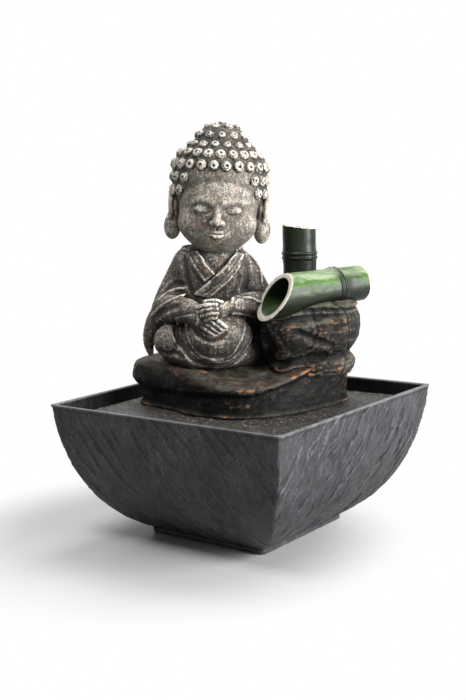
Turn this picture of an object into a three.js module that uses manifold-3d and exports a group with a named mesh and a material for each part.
// A table fountain with a seated figure, in millimetres, +Z up, origin under the middle of the foot.
// A curved square basin holds the water and a submersible pump. A lift-off scenery rests on the basin's
// inner ledge: a plate, a stone slab, a boulder, a seated figure, a bamboo spout and a bamboo post.
// A hose carries the water from the pump's nozzle up through plate, slab and boulder into the spout.
import * as THREE from "three";
import { mergeVertices } from "three/addons/utils/BufferGeometryUtils.js";
import Module from "manifold-3d";

const wasm = await Module();
wasm.setup();

// Driving dimensions of the basin
const RIM_WIDTH = 180;
const BASIN_HEIGHT = 89.5;
const FOOT_WIDTH = 92;
const FOOT_TOP = 5;
const BASIN_WALL = 3;
const RIM_TO_PLATE = 9;
const BASIN_CORNER = 2.2;

// Driving dimensions of the scenery
const SCENERY_TURN_DEG = 37;
const PLATE_THICKNESS = 3;
const SLAB_FRONT_RISE = 18.2;
const SLAB_BACK_RISE = 31;
const BOULDER_HEIGHT = 37.6;
const FIGURE_HEIGHT = 157.5;
const FIGURE_TURN_DEG = -4;
const SPOUT_LENGTH = 69;
const SPOUT_MOUTH_DIAMETER = 28;
const SPOUT_BACK_DIAMETER = 23;
const POST_DIAMETER = 22;
const BAMBOO_WALL = 3;

// Driving dimensions of the pump and its hose
const PUMP_WIDTH = 36;
const PUMP_HEIGHT = 30;
const PUMP_BODY_LENGTH = 36;
const PUMP_WALL = 2;
const ROTOR_DIAMETER = 13.6;
const SHAFT_DIAMETER = 2.6;
const NOZZLE_BORE = 4.6;
const HOSE_BORE = 7.4;
const HOSE_WALL = 1.4;

// Clearances and shared values
const SEAT_GAP = 0.3;
const SLIDE_GAP = 0.4;
const CUT_OVERRUN = 2;
const WELD_DISTANCE = 1e-4;
const QUARTER_TURN = Math.PI / 2;
const FULL_TURN = 2 * Math.PI;
const ROUND_STEPS = 12;
const FINE_ROUND_STEPS = 18;
const CORNER_STEPS = 2;

// Basin sizes that follow
const RIM_HALF = RIM_WIDTH / 2;
const FOOT_HALF = FOOT_WIDTH / 2;
const FOOT_STEP = 1.5;
const PLATE_TOP = BASIN_HEIGHT - RIM_TO_PLATE;
const PLATE_BOTTOM = PLATE_TOP - PLATE_THICKNESS;
const LEDGE_TOP = PLATE_BOTTOM - SEAT_GAP;
const LEDGE_DEPTH = 4;
const FLOOR_TOP = FOOT_TOP + BASIN_WALL;
const PAD_DIAMETER = 12;
const PAD_THICKNESS = 2;
const PAD_SHOW = 0.8;
const PAD_STEPS = 10;
const PAD_INSET = 12;
const FOOT_BOTTOM = PAD_SHOW;

const rad = THREE.MathUtils.degToRad;
const SCENERY_TURN = rad(SCENERY_TURN_DEG);
const FIGURE_TURN = rad(FIGURE_TURN_DEG);

// Helpers that make and combine solids

/** A colour, roughness and metalness as a material of its own. */
function finish(color, roughness, metalness = 0) {
  return new THREE.MeshStandardMaterial({ color, roughness, metalness });
}

/** Six times the signed volume of a triangle list, negative when its faces point inwards. */
function signedVolume(corners, faces) {
  const a = new THREE.Vector3();
  const b = new THREE.Vector3();
  const c = new THREE.Vector3();
  let volume = 0;
  for (let i = 0; i < faces.length; i += 3) {
    a.fromArray(corners, faces[i] * 3);
    b.fromArray(corners, faces[i + 1] * 3);
    c.fromArray(corners, faces[i + 2] * 3);
    volume += a.dot(b.cross(c));
  }
  return volume;
}

/** A closed geometry as a solid that can be joined and cut, with its faces turned outwards. */
function solid(geometry) {
  const plain = geometry.clone();
  plain.deleteAttribute("normal");
  plain.deleteAttribute("uv");
  const welded = mergeVertices(plain, WELD_DISTANCE);
  const corners = Float32Array.from(welded.attributes.position.array);
  const faces = [];
  for (let i = 0; i < welded.index.count; i += 3) {
    const face = [welded.index.getX(i), welded.index.getX(i + 1), welded.index.getX(i + 2)];
    if (new Set(face).size === face.length) {
      faces.push(...face);
    }
  }
  if (signedVolume(corners, faces) < 0) {
    faces.reverse();
  }
  return new wasm.Manifold(
    new wasm.Mesh({ numProp: 3, vertProperties: corners, triVerts: Uint32Array.from(faces) }),
  );
}

/** A solid as a named mesh. */
function piece(name, body, material) {
  const { numProp, vertProperties, triVerts } = body.getMesh();
  const corners = new Float32Array((vertProperties.length / numProp) * 3);
  for (let i = 0; i < corners.length / 3; i += 1) {
    corners.set(vertProperties.subarray(i * numProp, i * numProp + 3), i * 3);
  }
  const geometry = new THREE.BufferGeometry();
  geometry.setAttribute("position", new THREE.BufferAttribute(corners, 3));
  geometry.setIndex([...triVerts]);
  geometry.computeVertexNormals();
  const mesh = new THREE.Mesh(geometry, material);
  mesh.name = name;
  return mesh;
}

/** A profile of [radius, height] pairs turned about the vertical axis. */
function turned(profile, steps = ROUND_STEPS) {
  const points = profile.map(([radius, height]) => new THREE.Vector2(radius, height));
  return new THREE.LatheGeometry(points, steps).rotateX(QUARTER_TURN);
}

/** The same about the Y axis, for the pieces on the pump's shaft. */
function turnedAlongY(profile, steps = ROUND_STEPS) {
  const points = profile.map(([radius, height]) => new THREE.Vector2(radius, height));
  return new THREE.LatheGeometry(points, steps);
}

/** A plain rod or hole from one height to another. */
function rod(radius, low, high, steps = ROUND_STEPS) {
  return turned([[0, low], [radius, low], [radius, high], [0, high]], steps);
}

/** A box given by its lowest and highest corners. */
function block(low, high) {
  const size = high.map((value, axis) => value - low[axis]);
  const middle = high.map((value, axis) => (value + low[axis]) / 2);
  return new THREE.BoxGeometry(...size).translate(...middle);
}

/** An outline with round corners, centred, for extrusion. */
function roundedOutline(width, depth, corner) {
  const shape = new THREE.Shape();
  const x = width / 2 - corner;
  const y = depth / 2 - corner;
  shape.absarc(x, -y, corner, -QUARTER_TURN, 0);
  shape.absarc(x, y, corner, 0, QUARTER_TURN);
  shape.absarc(-x, y, corner, QUARTER_TURN, 2 * QUARTER_TURN);
  shape.absarc(-x, -y, corner, 2 * QUARTER_TURN, 3 * QUARTER_TURN);
  return shape;
}

/** An outline drawn in X and Y, raised from one height to another. */
function raised(shape, low, high, curveSegments = CORNER_STEPS) {
  const depth = high - low;
  return new THREE.ExtrudeGeometry(shape, { depth, bevelEnabled: false, curveSegments })
    .translate(0, 0, low);
}

/** An outline drawn in X and Z, run along Y from one place to another. */
function runAlongY(shape, from, to, curveSegments = CORNER_STEPS) {
  const depth = to - from;
  return new THREE.ExtrudeGeometry(shape, { depth, bevelEnabled: false, curveSegments })
    .rotateX(QUARTER_TURN)
    .translate(0, to, 0);
}

/** A closed body through rings of equally many points; each end is closed on its own middle. */
function ringBody(rings) {
  const count = rings[0].length;
  const corners = rings.flat();
  const faces = [];
  for (let ring = 0; ring + 1 < rings.length; ring += 1) {
    for (let i = 0; i < count; i += 1) {
      const next = (i + 1) % count;
      const a = ring * count + i;
      const b = ring * count + next;
      faces.push(a, b, b + count, a, b + count, a + count);
    }
  }
  for (const end of [0, rings.length - 1]) {
    const middle = new THREE.Vector3();
    for (const point of rings[end]) {
      middle.addScaledVector(point, 1 / count);
    }
    const hub = corners.push(middle) - 1;
    for (let i = 0; i < count; i += 1) {
      const a = end * count + i;
      const b = end * count + ((i + 1) % count);
      faces.push(...(end === 0 ? [hub, b, a] : [hub, a, b]));
    }
  }
  const geometry = new THREE.BufferGeometry().setFromPoints(corners);
  geometry.setIndex(faces);
  return geometry;
}

/** A horizontal square ring with round corners. */
function squareRing(half, corner, height) {
  const ring = [];
  const reach = half - corner;
  for (let quarter = 0; quarter < 4; quarter += 1) {
    const middle = (quarter + 0.5) * QUARTER_TURN;
    const x = Math.sign(Math.cos(middle)) * reach;
    const y = Math.sign(Math.sin(middle)) * reach;
    for (let step = 0; step <= CORNER_STEPS; step += 1) {
      const angle = (quarter + step / CORNER_STEPS) * QUARTER_TURN;
      ring.push(new THREE.Vector3(x + corner * Math.cos(angle), y + corner * Math.sin(angle), height));
    }
  }
  return ring;
}

const DOME_TIP_SHARE = 0.55;
const DOME_AHEAD_SHARE = 0.8;

/** A smooth limb along a path: radii are given at the path's points, and both ends are domed. */
function limb(points, radii, { sides = 6, steps = 5, flat = 1 } = {}) {
  const path = new THREE.CatmullRomCurve3(points);
  const frames = path.computeFrenetFrames(steps);
  const rings = [];
  const widthAt = (share) => {
    const place = share * (radii.length - 1);
    const low = Math.min(Math.floor(place), radii.length - 2);
    return THREE.MathUtils.lerp(radii[low], radii[low + 1], place - low);
  };
  const addRing = (share, index, scale, ahead) => {
    const middle = path.getPoint(share);
    const width = widthAt(share);
    middle.addScaledVector(frames.tangents[index], ahead * width);
    const ring = [];
    for (let i = 0; i < sides; i += 1) {
      const angle = (i / sides) * FULL_TURN;
      const point = middle.clone();
      point.addScaledVector(frames.normals[index], Math.cos(angle) * width * scale);
      point.addScaledVector(frames.binormals[index], Math.sin(angle) * width * scale * flat);
      ring.push(point);
    }
    rings.push(ring);
  };
  addRing(0, 0, DOME_TIP_SHARE, -DOME_AHEAD_SHARE);
  for (let step = 0; step <= steps; step += 1) {
    addRing(step / steps, step, 1, 0);
  }
  addRing(1, steps, DOME_TIP_SHARE, DOME_AHEAD_SHARE);
  return ringBody(rings);
}
/** A round lump with its own half sizes along X, Y and Z. */
function lump(middle, halves, around = 12, down = 8) {
  return new THREE.SphereGeometry(1, around, down).scale(...halves).translate(...middle);
}

// Basin: a moulded square bowl on a low foot, with a ledge inside for the scenery's plate

const SIDE_LOW_PULL_SHARES = [0.605, 0.128];
const SIDE_HIGH_PULL_SHARES = [0.943, 0.581];
const SIDE_STEPS = 10;
const SIDE_TABLE_STEPS = 60;
const INNER_LEVEL_SHARES = [0, 0.04, 0.1, 0.19, 0.3, 0.43, 0.58, 0.78, 1];

/** A point on the side's curve, as shares of the way from the foot's top to the rim. */
function sidePoint([across, up]) {
  const start = FOOT_HALF + FOOT_STEP;
  return new THREE.Vector2(
    THREE.MathUtils.lerp(start, RIM_HALF, across),
    THREE.MathUtils.lerp(FOOT_TOP, BASIN_HEIGHT, up),
  );
}

const sideCurve = new THREE.CubicBezierCurve(
  sidePoint([0, 0]),
  sidePoint(SIDE_LOW_PULL_SHARES),
  sidePoint(SIDE_HIGH_PULL_SHARES),
  sidePoint([1, 1]),
);
const sideTable = sideCurve.getPoints(SIDE_TABLE_STEPS);

/** Half the width of the basin's inside at a height: the outer curve less the wall, measured square. */
function innerHalf(height) {
  const after = Math.max(1, sideTable.findIndex((point) => point.y >= height));
  const low = sideTable[after - 1];
  const high = sideTable[after];
  const outer = THREE.MathUtils.mapLinear(height, low.y, high.y, low.x, high.x);
  const slope = (high.x - low.x) / (high.y - low.y);
  return outer - BASIN_WALL * Math.hypot(1, slope);
}

const LEDGE_HALF = innerHalf(LEDGE_TOP) - LEDGE_DEPTH;
const INNER_CORNER = BASIN_CORNER + BASIN_WALL / 2;
const CORD_NOTCH_WIDTH = 9;
const CORD_NOTCH_DEPTH = 7;
const CORD_CUT_DEPTH = 12;
const CORD_NOTCH_SHARE = -0.8;
const CORD_NOTCH_X = RIM_HALF * CORD_NOTCH_SHARE;

/** The cord's way out: an upright slot with a round bottom, run along Y. */
function cordNotch(width, bottom, top, from, to) {
  const shape = new THREE.Shape();
  shape.absarc(0, bottom + width / 2, width / 2, 2 * QUARTER_TURN, 4 * QUARTER_TURN);
  shape.lineTo(width / 2, top);
  shape.lineTo(-width / 2, top);
  return runAlongY(shape, from, to, CORNER_STEPS * 2).translate(CORD_NOTCH_X, 0, 0);
}

/** The four places of the rubber pads under the foot. */
function padPlaces() {
  const reach = FOOT_HALF - PAD_INSET;
  return [[reach, reach], [-reach, reach], [-reach, -reach], [reach, -reach]];
}

function makeBasin() {
  const outer = [
    squareRing(FOOT_HALF, BASIN_CORNER * 2, FOOT_BOTTOM),
    squareRing(FOOT_HALF, BASIN_CORNER * 2, FOOT_TOP),
  ];
  for (const point of sideCurve.getPoints(SIDE_STEPS)) {
    outer.push(squareRing(point.x, BASIN_CORNER, point.y));
  }
  const inner = INNER_LEVEL_SHARES.map((share) => {
    const height = THREE.MathUtils.lerp(FLOOR_TOP, LEDGE_TOP, share);
    return squareRing(Math.min(innerHalf(height), LEDGE_HALF), INNER_CORNER, height);
  });
  const mouthHalf = innerHalf(BASIN_HEIGHT);
  inner.push(squareRing(innerHalf(LEDGE_TOP), INNER_CORNER, LEDGE_TOP));
  inner.push(squareRing(mouthHalf, INNER_CORNER, BASIN_HEIGHT));
  inner.push(squareRing(mouthHalf, INNER_CORNER, BASIN_HEIGHT + CUT_OVERRUN));
  let basin = solid(ringBody(outer)).subtract(solid(ringBody(inner)));
  const notchBottom = BASIN_HEIGHT - CORD_NOTCH_DEPTH;
  const notchTop = BASIN_HEIGHT + CUT_OVERRUN;
  const notchStart = mouthHalf - CUT_OVERRUN;
  const notchEnd = RIM_HALF + CUT_OVERRUN;
  basin = basin.subtract(solid(cordNotch(CORD_NOTCH_WIDTH, notchBottom, notchTop, notchStart, notchEnd)));
  for (const [x, y] of padPlaces()) {
    const socket = rod(PAD_DIAMETER / 2 + SEAT_GAP, FOOT_BOTTOM - CUT_OVERRUN, PAD_THICKNESS + SEAT_GAP);
    basin = basin.subtract(solid(socket.translate(x, y, 0)));
  }
  return basin;
}

function makePad() {
  const radius = PAD_DIAMETER / 2;
  const edge = PAD_SHOW / 2;
  return solid(turned([
    [0, 0],
    [radius - edge, 0],
    [radius, edge],
    [radius, PAD_THICKNESS],
    [0, PAD_THICKNESS],
  ], PAD_STEPS));
}

// The pump's place: its cups stand on the basin's floor, as near the spout's side as they fit

const CUP_STEPS = 8;
const CUP_DIAMETER = 12;
const CUP_HEIGHT = 4.2;
const CUP_SPREAD_X = 19;
const CUP_SPREAD_Y = 24;
const CUP_STUD_DIAMETER = 3.4;
const CUP_STUD_LENGTH = 2;
const CUP_BELL_SHARES = [[0, 0.42], [0.6, 0.28], [0.94, 0], [1, 0.08], [0.62, 0.66], [0.45, 1]];
const BOSS_HEIGHT = 2.4;
const BOSS_DIAMETER = 8;
const FLOOR_MARGIN = 1.5;
const PUMP_X = innerHalf(FLOOR_TOP) - CUP_SPREAD_X / 2 - CUP_DIAMETER / 2 - FLOOR_MARGIN;
const PUMP_Y = -6;
const PUMP_BASE = FLOOR_TOP + SEAT_GAP + CUP_HEIGHT + BOSS_HEIGHT + SEAT_GAP;
const NOZZLE_TALL = 12;
const NOZZLE_WALL = (HOSE_BORE - 2 * SEAT_GAP - NOZZLE_BORE) / 2;
const NOZZLE_RADIUS = NOZZLE_BORE / 2 + NOZZLE_WALL;
const NOZZLE_CLEAR = 0.9;
const COVER_OVERLAP = 1.5;
const VOLUTE_LENGTH = SEAT_GAP + 2 * NOZZLE_RADIUS + NOZZLE_CLEAR + COVER_OVERLAP;
const NOZZLE_Y = PUMP_BODY_LENGTH / 2 + NOZZLE_RADIUS + SEAT_GAP;
const NOZZLE_TOP = PUMP_BASE + PUMP_HEIGHT + NOZZLE_TALL;
const HOSE_GRIP = 8;
const HOSE_RADIUS = HOSE_BORE / 2 + HOSE_WALL;

// Places in the scenery's own turned frame: X to its right, Y to its back

const FIGURE_PLACE_SHARES = [-0.172, 0.167];
const [FIGURE_X, FIGURE_Y] = FIGURE_PLACE_SHARES.map((share) => share * RIM_HALF);

/** A place beside the figure, from shares of the figure's height. */
function besideFigure([right, back]) {
  return [FIGURE_X + right * FIGURE_HEIGHT, FIGURE_Y + back * FIGURE_HEIGHT];
}

const SPOUT_YAW_DEG = 32.6;
const SPOUT_DIP_DEG = 2.9;
const SPOUT_MOUTH_SHARES = [0.2289, -0.2305];
const SPOUT_BACK_LIFT = 78.8;
const SPOUT_CUT_DEG = 37;
const SPOUT_NODE_SHARE = 0.32;
const HOSE_ENTRY_SHARE = 0.64;
const NODE_RIDGE = 0.9;
const NODE_HALF_WIDTH = 2.6;
const NODE_GROOVE_SHARE = 0.3;
const HOSE_SHOW = 1.5;

/** The spout's own frame: a cane made along +Z points to its mouth, and its X side is its top. */
function spoutFrame() {
  const yaw = rad(SPOUT_YAW_DEG);
  const dip = rad(SPOUT_DIP_DEG);
  const level = Math.cos(dip);
  const ahead = new THREE.Vector3(-Math.cos(yaw) * level, -Math.sin(yaw) * level, -Math.sin(dip));
  const up = new THREE.Vector3(0, 0, 1);
  up.addScaledVector(ahead, -ahead.z).normalize();
  const side = new THREE.Vector3().crossVectors(ahead, up);
  const frame = new THREE.Matrix4().makeBasis(up, side, ahead);
  const [x, y] = besideFigure(SPOUT_MOUTH_SHARES);
  const back = new THREE.Vector3(x, y, 0).addScaledVector(ahead, -SPOUT_LENGTH);
  return frame.setPosition(back.x, back.y, PLATE_TOP + SPOUT_BACK_LIFT);
}

/** The middle of the spout at a share of its length from the closed end, in the scenery's frame. */
function spoutMiddle(share) {
  return new THREE.Vector3(0, 0, SPOUT_LENGTH * share).applyMatrix4(spoutFrame());
}

/** The spout's outer radius at a share of its length. */
function spoutRadius(share) {
  return THREE.MathUtils.lerp(SPOUT_BACK_DIAMETER, SPOUT_MOUTH_DIAMETER, share) / 2;
}

/** A bamboo cane's outer profile from its foot up, with two ridges at its node. */
function caneProfile(length, nodeAt, radiusAt) {
  const ridge = NODE_HALF_WIDTH;
  const levels = [
    [0, 0],
    [nodeAt - 2 * ridge, 0],
    [nodeAt - ridge, 1],
    [nodeAt - ridge / 3, NODE_GROOVE_SHARE],
    [nodeAt + ridge / 3, NODE_GROOVE_SHARE],
    [nodeAt + ridge, 1],
    [nodeAt + 2 * ridge, 0],
    [length, 0],
  ];
  return levels.map(([height, swell]) => [radiusAt(height) + swell * NODE_RIDGE, height]);
}

/** Half of space above a plane that leans towards X by an angle, as a block of a given reach. */
function leaningHalf(reach, lean, height) {
  return block([-reach, -reach, 0], [reach, reach, reach]).rotateY(lean).translate(0, 0, height);
}

function makeSpout() {
  const reach = SPOUT_LENGTH + SPOUT_MOUTH_DIAMETER;
  const radiusAt = (height) => spoutRadius(height / SPOUT_LENGTH);
  const nodeAt = SPOUT_NODE_SHARE * SPOUT_LENGTH;
  const outer = caneProfile(reach, nodeAt, radiusAt);
  let cane = solid(turned([[0, 0], ...outer, [0, reach]], FINE_ROUND_STEPS));
  const boreStart = nodeAt + NODE_HALF_WIDTH;
  const bore = [
    [0, boreStart],
    [radiusAt(boreStart) - BAMBOO_WALL, boreStart],
    [radiusAt(reach) - BAMBOO_WALL, reach + CUT_OVERRUN],
    [0, reach + CUT_OVERRUN],
  ];
  cane = cane.subtract(solid(turned(bore, FINE_ROUND_STEPS)));
  const dish = rod(radiusAt(0) - BAMBOO_WALL, -CUT_OVERRUN, BAMBOO_WALL, FINE_ROUND_STEPS);
  cane = cane.subtract(solid(dish));
  cane = cane.subtract(solid(leaningHalf(2 * reach, rad(SPOUT_CUT_DEG), SPOUT_LENGTH)));
  const toCane = spoutFrame().invert();
  return cane.subtract(solid(hoseTool(SEAT_GAP).applyMatrix4(toCane)));
}

// Rock heights above the plate

const BOULDER_TOP = PLATE_TOP + SLAB_BACK_RISE + BOULDER_HEIGHT;

// Upright post: a cut bamboo cane behind the spout, standing in a socket in the boulder

const POST_BEHIND_MOUTH = 37.8;
const POST_GAP = 0.6;
const POST_TOP_RISE = 117;
const POST_NODE_RISE = 98;
const POST_SOCKET_DEPTH = 9;
const POST_CUT_DEG = 7;
const POST_HOLLOW_DEPTH = 14;
const POST_HOLLOW_SHARE = 0.62;

/** The post's axis: square behind the spout's middle line, clear of the spout. */
function postPlace() {
  const share = 1 - POST_BEHIND_MOUTH / SPOUT_LENGTH;
  const beside = spoutMiddle(share);
  const away = spoutRadius(share) + POST_DIAMETER / 2 + POST_GAP;
  const yaw = rad(SPOUT_YAW_DEG);
  return [beside.x - away * Math.sin(yaw), beside.y + away * Math.cos(yaw)];
}

/** The post's foot, seated at the bottom of its socket. */
function postFoot() {
  return BOULDER_TOP - POST_SOCKET_DEPTH;
}

function makePost() {
  const foot = postFoot();
  const top = PLATE_TOP + POST_TOP_RISE;
  const length = top + POST_DIAMETER / 2 - foot;
  const radiusAt = () => POST_DIAMETER / 2;
  const outer = caneProfile(length, PLATE_TOP + POST_NODE_RISE - foot, radiusAt);
  let post = solid(turned([[0, 0], ...outer, [0, length]]).translate(0, 0, foot));
  const hollowRadius = (POST_DIAMETER / 2) * POST_HOLLOW_SHARE;
  post = post.subtract(solid(rod(hollowRadius, top - POST_HOLLOW_DEPTH, top + POST_DIAMETER)));
  post = post.subtract(solid(leaningHalf(2 * POST_DIAMETER, rad(POST_CUT_DEG), top)));
  return post;
}

// Hose: rises straight off the nozzle, bends over and ends upright inside the spout

const HOSE_STEPS = 8;
const HOSE_ARC_STEPS = 5;

/** The hose's middle line in the basin's frame: straight off the nozzle, then over into the spout. */
function hosePath() {
  const upright = new THREE.Vector3(0, 0, 1);
  const exit = spoutMiddle(HOSE_ENTRY_SHARE).applyAxisAngle(upright, SCENERY_TURN);
  const low = NOZZLE_TOP - HOSE_GRIP;
  const high = exit.z - spoutRadius(HOSE_ENTRY_SHARE) + BAMBOO_WALL + HOSE_SHOW;
  const first = new THREE.Vector3(PUMP_X, PUMP_Y + NOZZLE_Y, low + HOSE_GRIP);
  const last = new THREE.Vector3(exit.x, exit.y, high - HOSE_GRIP);
  const pull = (last.z - first.z) / 2;
  const bend = new THREE.CubicBezierCurve3(
    first,
    first.clone().setZ(first.z + pull),
    last.clone().setZ(last.z - pull),
    last,
  );
  const points = [first.clone().setZ(low), ...bend.getPoints(HOSE_STEPS), last.clone().setZ(high)];
  return new THREE.CatmullRomCurve3(points);
}

/** A tube or, without a bore, a rod along the hose's middle line. */
function alongHose(radius, bore) {
  const section = new THREE.Shape();
  section.absarc(0, 0, radius, 0, FULL_TURN);
  if (bore > 0) {
    const hole = new THREE.Path();
    hole.absarc(0, 0, bore, 0, FULL_TURN, true);
    section.holes.push(hole);
  }
  const options = { steps: HOSE_STEPS, extrudePath: hosePath(), curveSegments: HOSE_ARC_STEPS };
  return new THREE.ExtrudeGeometry(section, { ...options, bevelEnabled: false });
}

/** The space that the hose and its clearance take, in the scenery's turned frame. */
function hoseTool(gap) {
  return alongHose(HOSE_RADIUS + gap, 0).rotateZ(-SCENERY_TURN);
}

function makeHose() {
  return solid(alongHose(HOSE_RADIUS, HOSE_BORE / 2));
}

// Plate: fills the basin's mouth, drains at its two back edges and lets the cord and the hose through

const DRAIN_COUNT = 3;
const DRAIN_LAND = 2.7;
const DRAIN_WIDTH = 3.6;
const DRAIN_EDGE = 8;
const DRAIN_START_SHARE = 0.2;
const DRAIN_END_SHARE = 0.66;
const PLATE_HALF = innerHalf(LEDGE_TOP) - SLIDE_GAP;

function makePlate() {
  let plate = solid(ringBody([
    squareRing(PLATE_HALF, INNER_CORNER, PLATE_BOTTOM),
    squareRing(PLATE_HALF, INNER_CORNER, PLATE_TOP),
  ]));
  plate = plate.subtract(solid(alongHose(HOSE_RADIUS + SEAT_GAP, 0)));
  const low = PLATE_BOTTOM - CUT_OVERRUN;
  const high = PLATE_TOP + CUT_OVERRUN;
  const edge = PLATE_HALF - DRAIN_EDGE;
  const pitch = (PLATE_HALF * (DRAIN_END_SHARE - DRAIN_START_SHARE)) / (DRAIN_COUNT - 1);
  const across = roundedOutline(pitch - DRAIN_LAND, DRAIN_WIDTH, DRAIN_WIDTH / 2 - SEAT_GAP);
  const upright = roundedOutline(DRAIN_WIDTH, pitch - DRAIN_LAND, DRAIN_WIDTH / 2 - SEAT_GAP);
  for (let i = 0; i < DRAIN_COUNT; i += 1) {
    const along = PLATE_HALF * DRAIN_START_SHARE + i * pitch;
    plate = plate.subtract(solid(raised(across, low, high).translate(-along, edge, 0)));
    plate = plate.subtract(solid(raised(upright, low, high).translate(-edge, along, 0)));
  }
  const cordCut = block(
    [CORD_NOTCH_X - CORD_NOTCH_WIDTH / 2, PLATE_HALF - CORD_CUT_DEPTH, low],
    [CORD_NOTCH_X + CORD_NOTCH_WIDTH / 2, PLATE_HALF + CUT_OVERRUN, high],
  );
  return plate.subtract(solid(cordCut));
}

// Rocks: a slab with a sloping top and a shallow pool, and a layered boulder that cradles the spout

const ROCK_POINTS = 20;
const SLAB_OUTLINE_SHARES = [
  [0.789, 0.178],
  [0.678, 0],
  [0.533, -0.144],
  [0.356, -0.3],
  [0.144, -0.406],
  [-0.111, -0.411],
  [-0.367, -0.256],
  [-0.6, 0.022],
  [-0.778, 0.211],
  [-0.744, 0.422],
  [-0.533, 0.6],
  [-0.2, 0.678],
  [0.178, 0.678],
  [0.511, 0.589],
  [0.744, 0.411],
];
const SLAB_LEVEL_SHARES = [[0, 1], [0.22, 1], [0.5, 1.035], [0.8, 1.07], [0.95, 1.055]];
const SLAB_TOP_RING_SHARES = [1.01, 0.9, 0.76, 0.6, 0.42, 0.22];
const SLAB_FRONT_SHARE = -0.46;
const SLAB_LEFT_DROP_SHARE = 0.05;
const POOL_PLACE_SHARES = [0.13, -0.2];
const POOL_SIZE_SHARES = [0.3, 0.2];
const POOL_DEPTH = 3.2;
const BOULDER_PLACE_SHARES = [0.489, 0.111];
const BOULDER_OUTLINE_SHARES = [
  [0.844, 0.022],
  [0.789, -0.144],
  [0.633, -0.222],
  [0.444, -0.262],
  [0.27, -0.28],
  [0.155, -0.2],
  [0.118, -0.02],
  [0.122, 0.13],
  [0.156, 0.3],
  [0.311, 0.456],
  [0.544, 0.489],
  [0.733, 0.389],
  [0.833, 0.211],
];
const BOULDER_LEVEL_SHARES = [
  [-0.14, 0.86],
  [0.05, 0.88],
  [0.25, 0.97],
  [0.45, 1.02],
  [0.6, 1.01],
  [0.68, 0.93],
  [0.74, 0.99],
  [0.88, 0.97],
  [0.97, 0.9],
  [1, 0.8],
  [1, 0.4],
];
const ROCK_WAVE_SHARE = 0.018;
const ROCK_RIPPLE_SHARE = 0.6;
const ROCK_WAVES_ROUND = 4;
const ROCK_RIPPLES_ROUND = 9;
const ROCK_WAVE_TWIST = 9;
const ROCK_RIPPLE_TWIST = 6;

/** A closed outline of evenly spaced points from shares of the rim's half width. */
function rockOutline(shares) {
  const points = shares.map(([x, y]) => new THREE.Vector3(x * RIM_HALF, y * RIM_HALF, 0));
  return new THREE.CatmullRomCurve3(points, true).getSpacedPoints(ROCK_POINTS).slice(0, ROCK_POINTS);
}

/** Repeatable unevenness of a rock's side, as a share to add to its scale. */
function rockWave(index, level) {
  const angle = (index / ROCK_POINTS) * FULL_TURN;
  const coarse = Math.sin(ROCK_WAVES_ROUND * angle + ROCK_WAVE_TWIST * level);
  const fine = Math.sin(ROCK_RIPPLES_ROUND * angle - ROCK_RIPPLE_TWIST * level);
  return (coarse + fine * ROCK_RIPPLE_SHARE) * ROCK_WAVE_SHARE;
}

/** Height of the slab's top over the plate: low in front, with a dished pool beside the figure. */
function slabTop(x, y) {
  const share = THREE.MathUtils.clamp((y / RIM_HALF - SLAB_FRONT_SHARE) / -SLAB_FRONT_SHARE, 0, 1);
  const rise = THREE.MathUtils.lerp(SLAB_FRONT_RISE, SLAB_BACK_RISE, share * (2 - share));
  const drop = Math.max(0, -x / RIM_HALF) ** 2 * SLAB_LEFT_DROP_SHARE * SLAB_BACK_RISE;
  const across = (x / RIM_HALF - POOL_PLACE_SHARES[0]) / POOL_SIZE_SHARES[0];
  const along = (y / RIM_HALF - POOL_PLACE_SHARES[1]) / POOL_SIZE_SHARES[1];
  return PLATE_TOP + rise - drop - POOL_DEPTH * Math.exp(-across * across - along * along);
}

/** A place moved outwards from the middle by a distance. */
function spread(x, y, grow) {
  const place = new THREE.Vector2(x, y);
  return place.setLength(place.length() + grow);
}

/** The slab's rings; grow makes it larger all round, which leaves a clearance to what it cuts. */
function slabRings(grow) {
  const outline = rockOutline(SLAB_OUTLINE_SHARES);
  const foot = PLATE_TOP + SEAT_GAP;
  const rings = SLAB_LEVEL_SHARES.map(([level, scale]) => outline.map((point, index) => {
    const wide = scale + (level > 0 ? rockWave(index, level) : 0);
    const top = slabTop(point.x * wide, point.y * wide);
    const height = THREE.MathUtils.lerp(foot, top, level);
    const { x, y } = spread(point.x * wide, point.y * wide, grow);
    return new THREE.Vector3(x, y, height + grow);
  }));
  for (const scale of SLAB_TOP_RING_SHARES) {
    rings.push(outline.map((point) => {
      const height = slabTop(point.x * scale, point.y * scale);
      const { x, y } = spread(point.x * scale, point.y * scale, grow);
      return new THREE.Vector3(x, y, height + grow);
    }));
  }
  return rings;
}

function makeSlab() {
  return solid(ringBody(slabRings(0))).subtract(solid(hoseTool(SEAT_GAP)));
}

/** The boulder before its cuts; grow makes it larger all round, which leaves a clearance beside it. */
function boulderBlank(grow) {
  const [middleX, middleY] = BOULDER_PLACE_SHARES.map((share) => share * RIM_HALF);
  const outline = rockOutline(BOULDER_OUTLINE_SHARES);
  const foot = PLATE_TOP + SLAB_BACK_RISE;
  const rings = BOULDER_LEVEL_SHARES.map(([level, scale]) => outline.map((point, index) => {
    const out = new THREE.Vector2(point.x - middleX, point.y - middleY);
    out.multiplyScalar(scale + rockWave(index, level)).setLength(out.length() + grow);
    const height = foot + level * BOULDER_HEIGHT + (level < 1 ? 0 : grow);
    return new THREE.Vector3(middleX + out.x, middleY + out.y, height);
  }));
  return ringBody(rings);
}

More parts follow.
